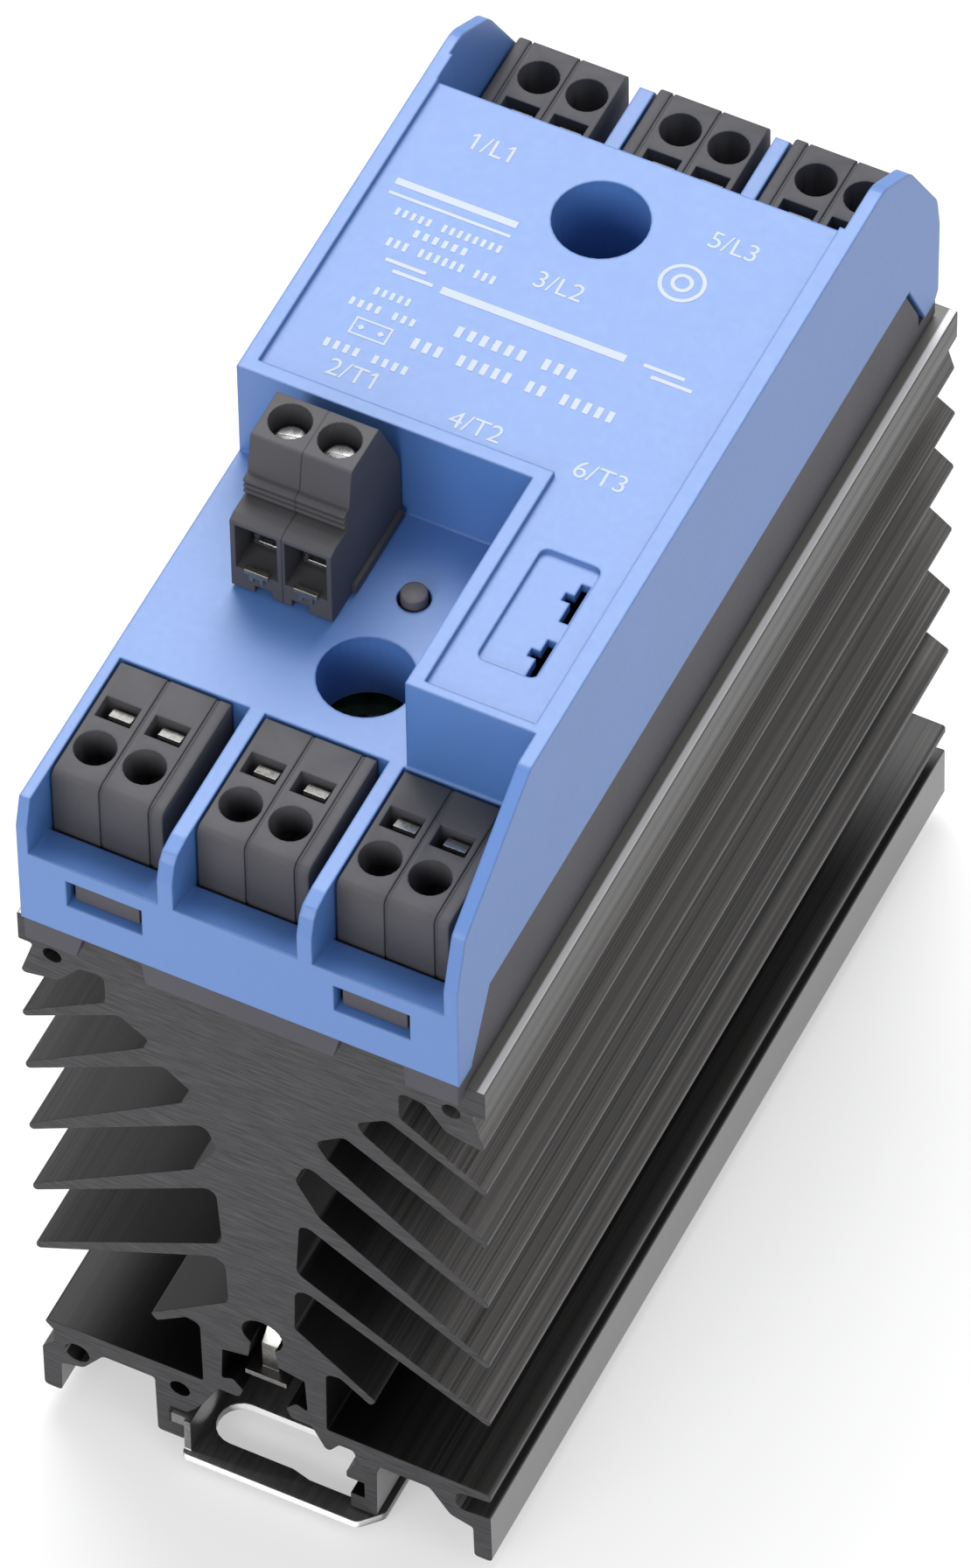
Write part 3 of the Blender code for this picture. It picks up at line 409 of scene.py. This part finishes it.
def print_object(name, shape):
    """Makes a printed piece of a shape."""
    mesh = bpy.data.meshes.new(name)
    shape.to_mesh(mesh)
    shape.free()
    obj = bpy.data.objects.new(name, mesh)
    scene.collection.objects.link(obj)
    mesh.materials.append(PRINT.material)
    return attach(obj, "relay")


def bars(name, strips):
    """Flat printed bars, each (x, y, length, width, turn in degrees)."""
    shape = bmesh.new()
    for x, y, length, width, turn in strips:
        size = Matrix.Diagonal((length * MM, width * MM, PRINT_HEIGHT, 1))
        place = Matrix.Translation(on_panel(x, y, PRINT_HEIGHT / 2))
        place = place @ Matrix.Rotation(math.radians(turn), 4, "Z")
        bmesh.ops.create_cube(shape, size=1.0, matrix=place @ size)
    return print_object(name, shape)


def add_flags(mesh, text, height):
    """Gives an upright 1 at either end of a number the short flag that tells it from an I."""
    stem, flag = 0.13 * height, 0.30 * height
    overhang, drop = 0.06 * height, 0.14 * height
    turn = Matrix.Rotation(math.radians(40), 4, "Z")
    thickness = 0.036 * MM
    size = Matrix.Diagonal((flag, stem * 0.9, thickness, 1))
    reach = [v.co.x for v in mesh.vertices]
    top = max(v.co.y for v in mesh.vertices)
    stems = [min(reach)] if text[0] == "1" else []
    stems += [max(reach) - stem] if text[-1] == "1" else []
    shape = bmesh.new()
    shape.from_mesh(mesh)
    for left in stems:
        place = Matrix.Translation((left - overhang, top - drop, 0))
        bmesh.ops.create_cube(shape, size=1.0, matrix=place @ turn @ size)
    shape.to_mesh(mesh)
    shape.free()


FONT_SIZE = 1.38  # the font size for figures of height 1


def terminal_number(text, x, y, height):
    """A terminal's standard number, printed flat, height in millimetres."""
    name = text.replace("/", "_")
    curve = bpy.data.curves.new("number_" + name, "FONT")
    curve.body = text
    curve.size = height * FONT_SIZE * MM
    curve.extrude = PRINT_HEIGHT / 2
    curve.align_x = "CENTER"
    curve.align_y = "CENTER"
    obj = bpy.data.objects.new("number_" + name, curve)
    scene.collection.objects.link(obj)
    obj.location = on_panel(x, y, PRINT_HEIGHT / 2)
    bpy.context.view_layer.update()
    graph = bpy.context.evaluated_depsgraph_get()
    mesh = bpy.data.meshes.new_from_object(obj.evaluated_get(graph))
    add_flags(mesh, text, height * MM)
    solid = bpy.data.objects.new("printed_" + name, mesh)
    solid.matrix_world = obj.matrix_world.copy()
    scene.collection.objects.link(solid)
    bpy.data.objects.remove(obj)
    mesh.materials.clear()
    mesh.materials.append(PRINT.material)
    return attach(solid, "relay")


def block_row(left, right, y, height, words):
    """A row of small blocks between two ends, in words of the given lengths."""
    count = sum(words) + len(words) - 1
    pitch = (right - left) / count
    strips = []
    place = left + pitch / 2
    for word in words:
        for _ in range(word):
            strips.append((place, y, pitch * 0.5, height, 0))
            place += pitch
        place += pitch
    return strips


def frame_marks(x, y, width, height, line):
    """A thin rectangle drawn with four lines."""
    level = [(x, y + side * height / 2, width + line, line, 0) for side in (-1, 1)]
    return level + [(x + side * width / 2, y, line, height - line, 0) for side in (-1, 1)]


def ring(name, x, y, outer, inner):
    """A flat printed ring with its radii in millimetres."""
    steps = 40
    shape = bmesh.new()
    loops = []
    for radius in (outer, inner):
        for level in (0.0, PRINT_HEIGHT):
            angles = [math.tau * step / steps for step in range(steps)]
            places = [on_panel(x + radius * math.cos(a), y + radius * math.sin(a), level) for a in angles]
            loops.append([shape.verts.new(place) for place in places])
    for one, two in ((0, 1), (1, 3), (3, 2), (2, 0)):
        for step in range(steps):
            after = (step + 1) % steps
            shape.faces.new((loops[one][step], loops[one][after], loops[two][after], loops[two][step]))
    bmesh.ops.recalc_face_normals(shape, faces=shape.faces)
    return print_object(name, shape)


TERMINAL_NUMBERS = (
    ("1/L1", -12.8, 79.7),
    ("3/L2", 0.0, 67.4),
    ("5/L3", 12.6, 78.7),
    ("2/T1", -12.5, 49.8),
    ("4/T2", 0.4, 49.1),
    ("6/T3", 13.3, 48.8),
)
NUMBER_HEIGHT = 2.1
for text, x, y in TERMINAL_NUMBERS:
    terminal_number(text, x, y, NUMBER_HEIGHT)

bars("heading", [(-13.0, 72.4, 12.6, 0.8, 0), (-13.0, 70.9, 12.6, 0.35, 0)])
bars("heading_rows", block_row(-17.9, -6.6, 69.1, 0.95, (5, 8)) + block_row(-15.2, -9.3, 67.4, 0.95, (6,)))
bars("wide_row", block_row(-17.0, -5.5, 65.5, 1.05, (3, 6, 3)))
bars("left_rules", [(-13.9, 63.5, 4.2, 0.42, 0), (-12.7, 62.5, 4.2, 0.42, 0)])
bars("right_rules", [(13.2, 62.5, 4.2, 0.42, 0), (14.4, 61.5, 4.2, 0.42, 0)])
bars("middle_rule", [(-0.2, 62.4, 19.0, 0.9, 0)])
bars("rating_rows", block_row(-6.6, 6.2, 58.6, 1.35, (6, 3)) + block_row(-9.6, 11.6, 55.6, 1.35, (3, 5, 2, 5)))
bars("input_rows", block_row(-15.4, -11.4, 59.7, 0.95, (5,)) + block_row(-17.0, -9.9, 57.7, 0.95, (4, 3)))
poles = [(x, 55.2, 0.5, 0.5, 45) for x in (-14.4, -12.4)]
bars("input_sign", frame_marks(-13.4, 55.2, 3.6, 1.9, 0.22) + poles)
bars("pin_rows", block_row(-17.0, -8.0, 52.3, 1.05, (4, 4)))
ring("round_sign", 10.1, 72.8, 2.3, 1.9)
ring("round_sign_inner", 10.1, 72.8, 1.1, 0.7)


# ---------------------------------------------------------------- moulded and stamped detail


def solid_piece(name, shape, finish, body, bevel=0.0):
    """A mesh piece riding on a body, with its sharp edges rounded by bevel millimetres."""
    bmesh.ops.recalc_face_normals(shape, faces=shape.faces)
    if bevel:
        sharp = [edge for edge in shape.edges if edge.calc_face_angle(0.0) > SHARP]
        bmesh.ops.bevel(
            shape, geom=sharp, offset=bevel * MM, segments=2, profile=0.5, affect="EDGES", clamp_overlap=True
        )
    mesh = bpy.data.meshes.new(name)
    shape.to_mesh(mesh)
    shape.free()
    obj = bpy.data.objects.new(name, mesh)
    scene.collection.objects.link(obj)
    mesh.materials.append(finish.material)
    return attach(obj, body)


def prism(outline, axis, start, end):
    """A flat outline in metres, drawn out along X or Y."""
    shape = bmesh.new()
    first, last = (
        [shape.verts.new((level, a, b) if axis == "X" else (a, level, b)) for a, b in outline]
        for level in (start, end)
    )
    shape.faces.new(first)
    shape.faces.new(last[::-1])
    for index in range(len(outline)):
        after = (index + 1) % len(outline)
        shape.faces.new((first[index], last[index], last[after], first[after]))
    return shape


def joint_filler(name, left, right):
    """The thin web that shows as a fine line where two neighbouring terminal mouldings meet."""
    clearance, inset, radius = 0.02 * MM, 0.16 * MM, 0.8 * MM
    low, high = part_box(left)
    at_front = low.y < 0
    inward = 1 if at_front else -1
    face, back = (low.y, high.y) if at_front else (high.y, low.y)
    face, back = face + inward * inset, back - inward * inset
    top, bottom = high.z - inset, low.z + inset
    outline = [(back, bottom), (back, top)]
    for degrees in (90, 112.5, 135, 157.5, 180):
        angle = math.radians(degrees)
        across = inward * radius * (1 + math.cos(angle))
        outline.append((face + across, top - radius * (1 - math.sin(angle))))
    outline.append((face, bottom))
    shape = prism(outline, "X", high.x + clearance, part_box(right)[0].x - clearance)
    solid_piece(name, shape, TERMINAL, "relay")


for row in ("load", "line"):
    for phase in (1, 2, 3):
        label = f"{row}_{phase}"
        first, second, plate = f"terminal_{label}a", f"terminal_{label}b", f"end_plate_{label}"
        joint_filler(f"joint_{label}_a", first, second)
        joint_filler(f"joint_{label}_b", *((second, plate) if row == "load" else (plate, first)))


def plug_contact(number):
    """Stamped T-shaped end of a contact, which shows at the foot of a wire entry."""
    clamp_low, clamp_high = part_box(f"plug_clamp_{number}")
    middle = (clamp_low.x + clamp_high.x) / 2
    level = clamp_low.z - 0.75 * MM
    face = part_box("plug_body")[0].y
    proud, let_in = 0.22 * MM, 0.3 * MM
    half = [(1.25, 0.75), (1.25, 0.1), (0.75, 0.1), (0.75, -0.75), (0.3, -0.75), (0.3, -0.2)]
    corners = half + [(-x, z) for x, z in half[::-1]]
    outline = [(middle + x * MM, level + z * MM) for x, z in corners]
    shape = prism(outline, "Y", face - proud, face + let_in)
    solid_piece(f"plug_contact_{number}", shape, CONTACT, "plug", bevel=0.05)


for number in (1, 2):
    plug_contact(number)


# ---------------------------------------------------------------- floor, light and camera

AIM = Vector((0.0122, -0.0255, 0.0895))
FLOOR_REACH = 6.0


def floor():
    """Pale paper that glows a little, so that it stays near white."""
    mesh = bpy.data.meshes.new("floor")
    shape = bmesh.new()
    bmesh.ops.create_grid(shape, x_segments=1, y_segments=1, size=FLOOR_REACH)
    shape.to_mesh(mesh)
    shape.free()
    obj = bpy.data.objects.new("floor", mesh)
    scene.collection.objects.link(obj)
    made = Finish("floor_paper", (0.5, 0.5, 0.5), 0.9, Emission_Color=(1, 1, 1, 1), Emission_Strength=0.42)
    tint = made.ramp(made.noise(3.0, 2.0), [(0.3, (0.475, 0.475, 0.477)), (0.7, (0.485, 0.485, 0.485))])
    made.set(Base_Color=tint)
    mesh.materials.append(made.material)
    obj.location.z = -0.05 * MM


def softbox(name, direction, distance, size, power):
    """A rectangular lamp that shines at the relay from a direction; metres and watts."""
    lamp = bpy.data.lights.new(name, "AREA")
    lamp.shape = "RECTANGLE"
    lamp.size, lamp.size_y = size
    lamp.energy = power
    obj = bpy.data.objects.new(name, lamp)
    scene.collection.objects.link(obj)
    obj.location = AIM + Vector(direction).normalized() * distance
    obj.rotation_euler = (AIM - obj.location).to_track_quat("-Z", "Y").to_euler()


def studio():
    """Even light from above that fades towards the horizon."""
    full_from, at_horizon, overhead = 0.8, 0.24, 0.72
    world = bpy.data.worlds.new("studio")
    world.use_nodes = True
    tree = world.node_tree
    parts = tree.nodes.new("ShaderNodeSeparateXYZ")
    height = tree.nodes.new("ShaderNodeMapRange")
    height.inputs["From Max"].default_value = full_from
    height.inputs["To Min"].default_value = at_horizon
    height.inputs["To Max"].default_value = overhead
    tree.links.new(tree.nodes.new("ShaderNodeTexCoord").outputs["Generated"], parts.inputs["Vector"])
    tree.links.new(parts.outputs["Z"], height.inputs["Value"])
    tree.links.new(height.outputs["Result"], tree.nodes["Background"].inputs["Strength"])
    tree.nodes["Background"].inputs["Color"].default_value = (1, 1, 1, 1)
    scene.world = world


def set_camera(azimuth, elevation, roll, place):
    """Puts the camera at a place, turned by azimuth and looking down by elevation, in degrees."""
    azimuth, elevation, roll = (math.radians(angle) for angle in (azimuth, elevation, roll))
    level = Vector((math.cos(azimuth), math.sin(azimuth), 0))
    ahead = Vector((-math.sin(azimuth), math.cos(azimuth), 0))
    forward = ahead * math.cos(elevation) - Vector((0, 0, math.sin(elevation)))
    right = (math.cos(roll) * level + math.sin(roll) * level.cross(forward)).normalized()
    camera = bpy.data.objects.new("camera", bpy.data.cameras.new("camera"))
    scene.collection.objects.link(camera)
    camera.data.sensor_width = 36
    camera.data.lens = 324.2
    camera.data.clip_start = 0.05
    camera.data.clip_end = 20
    pose = Matrix((right, right.cross(forward), -forward)).transposed().to_4x4()
    pose.translation = Vector(place)
    camera.matrix_world = pose
    scene.camera = camera


floor()
softbox("key", (-0.25, 0.54, 0.80), 1.3, (1.0, 0.95), 19)
softbox("side", (1.0, -0.30, 0.55), 1.8, (1.0, 1.0), 6)
softbox("fill", (-0.10, -1.0, 0.45), 1.8, (1.4, 1.0), 20)
studio()

set_camera(26.83, 52.79, -0.89, (0.36697, -0.72701, 1.12481))
scene.view_settings.view_transform = "Standard"
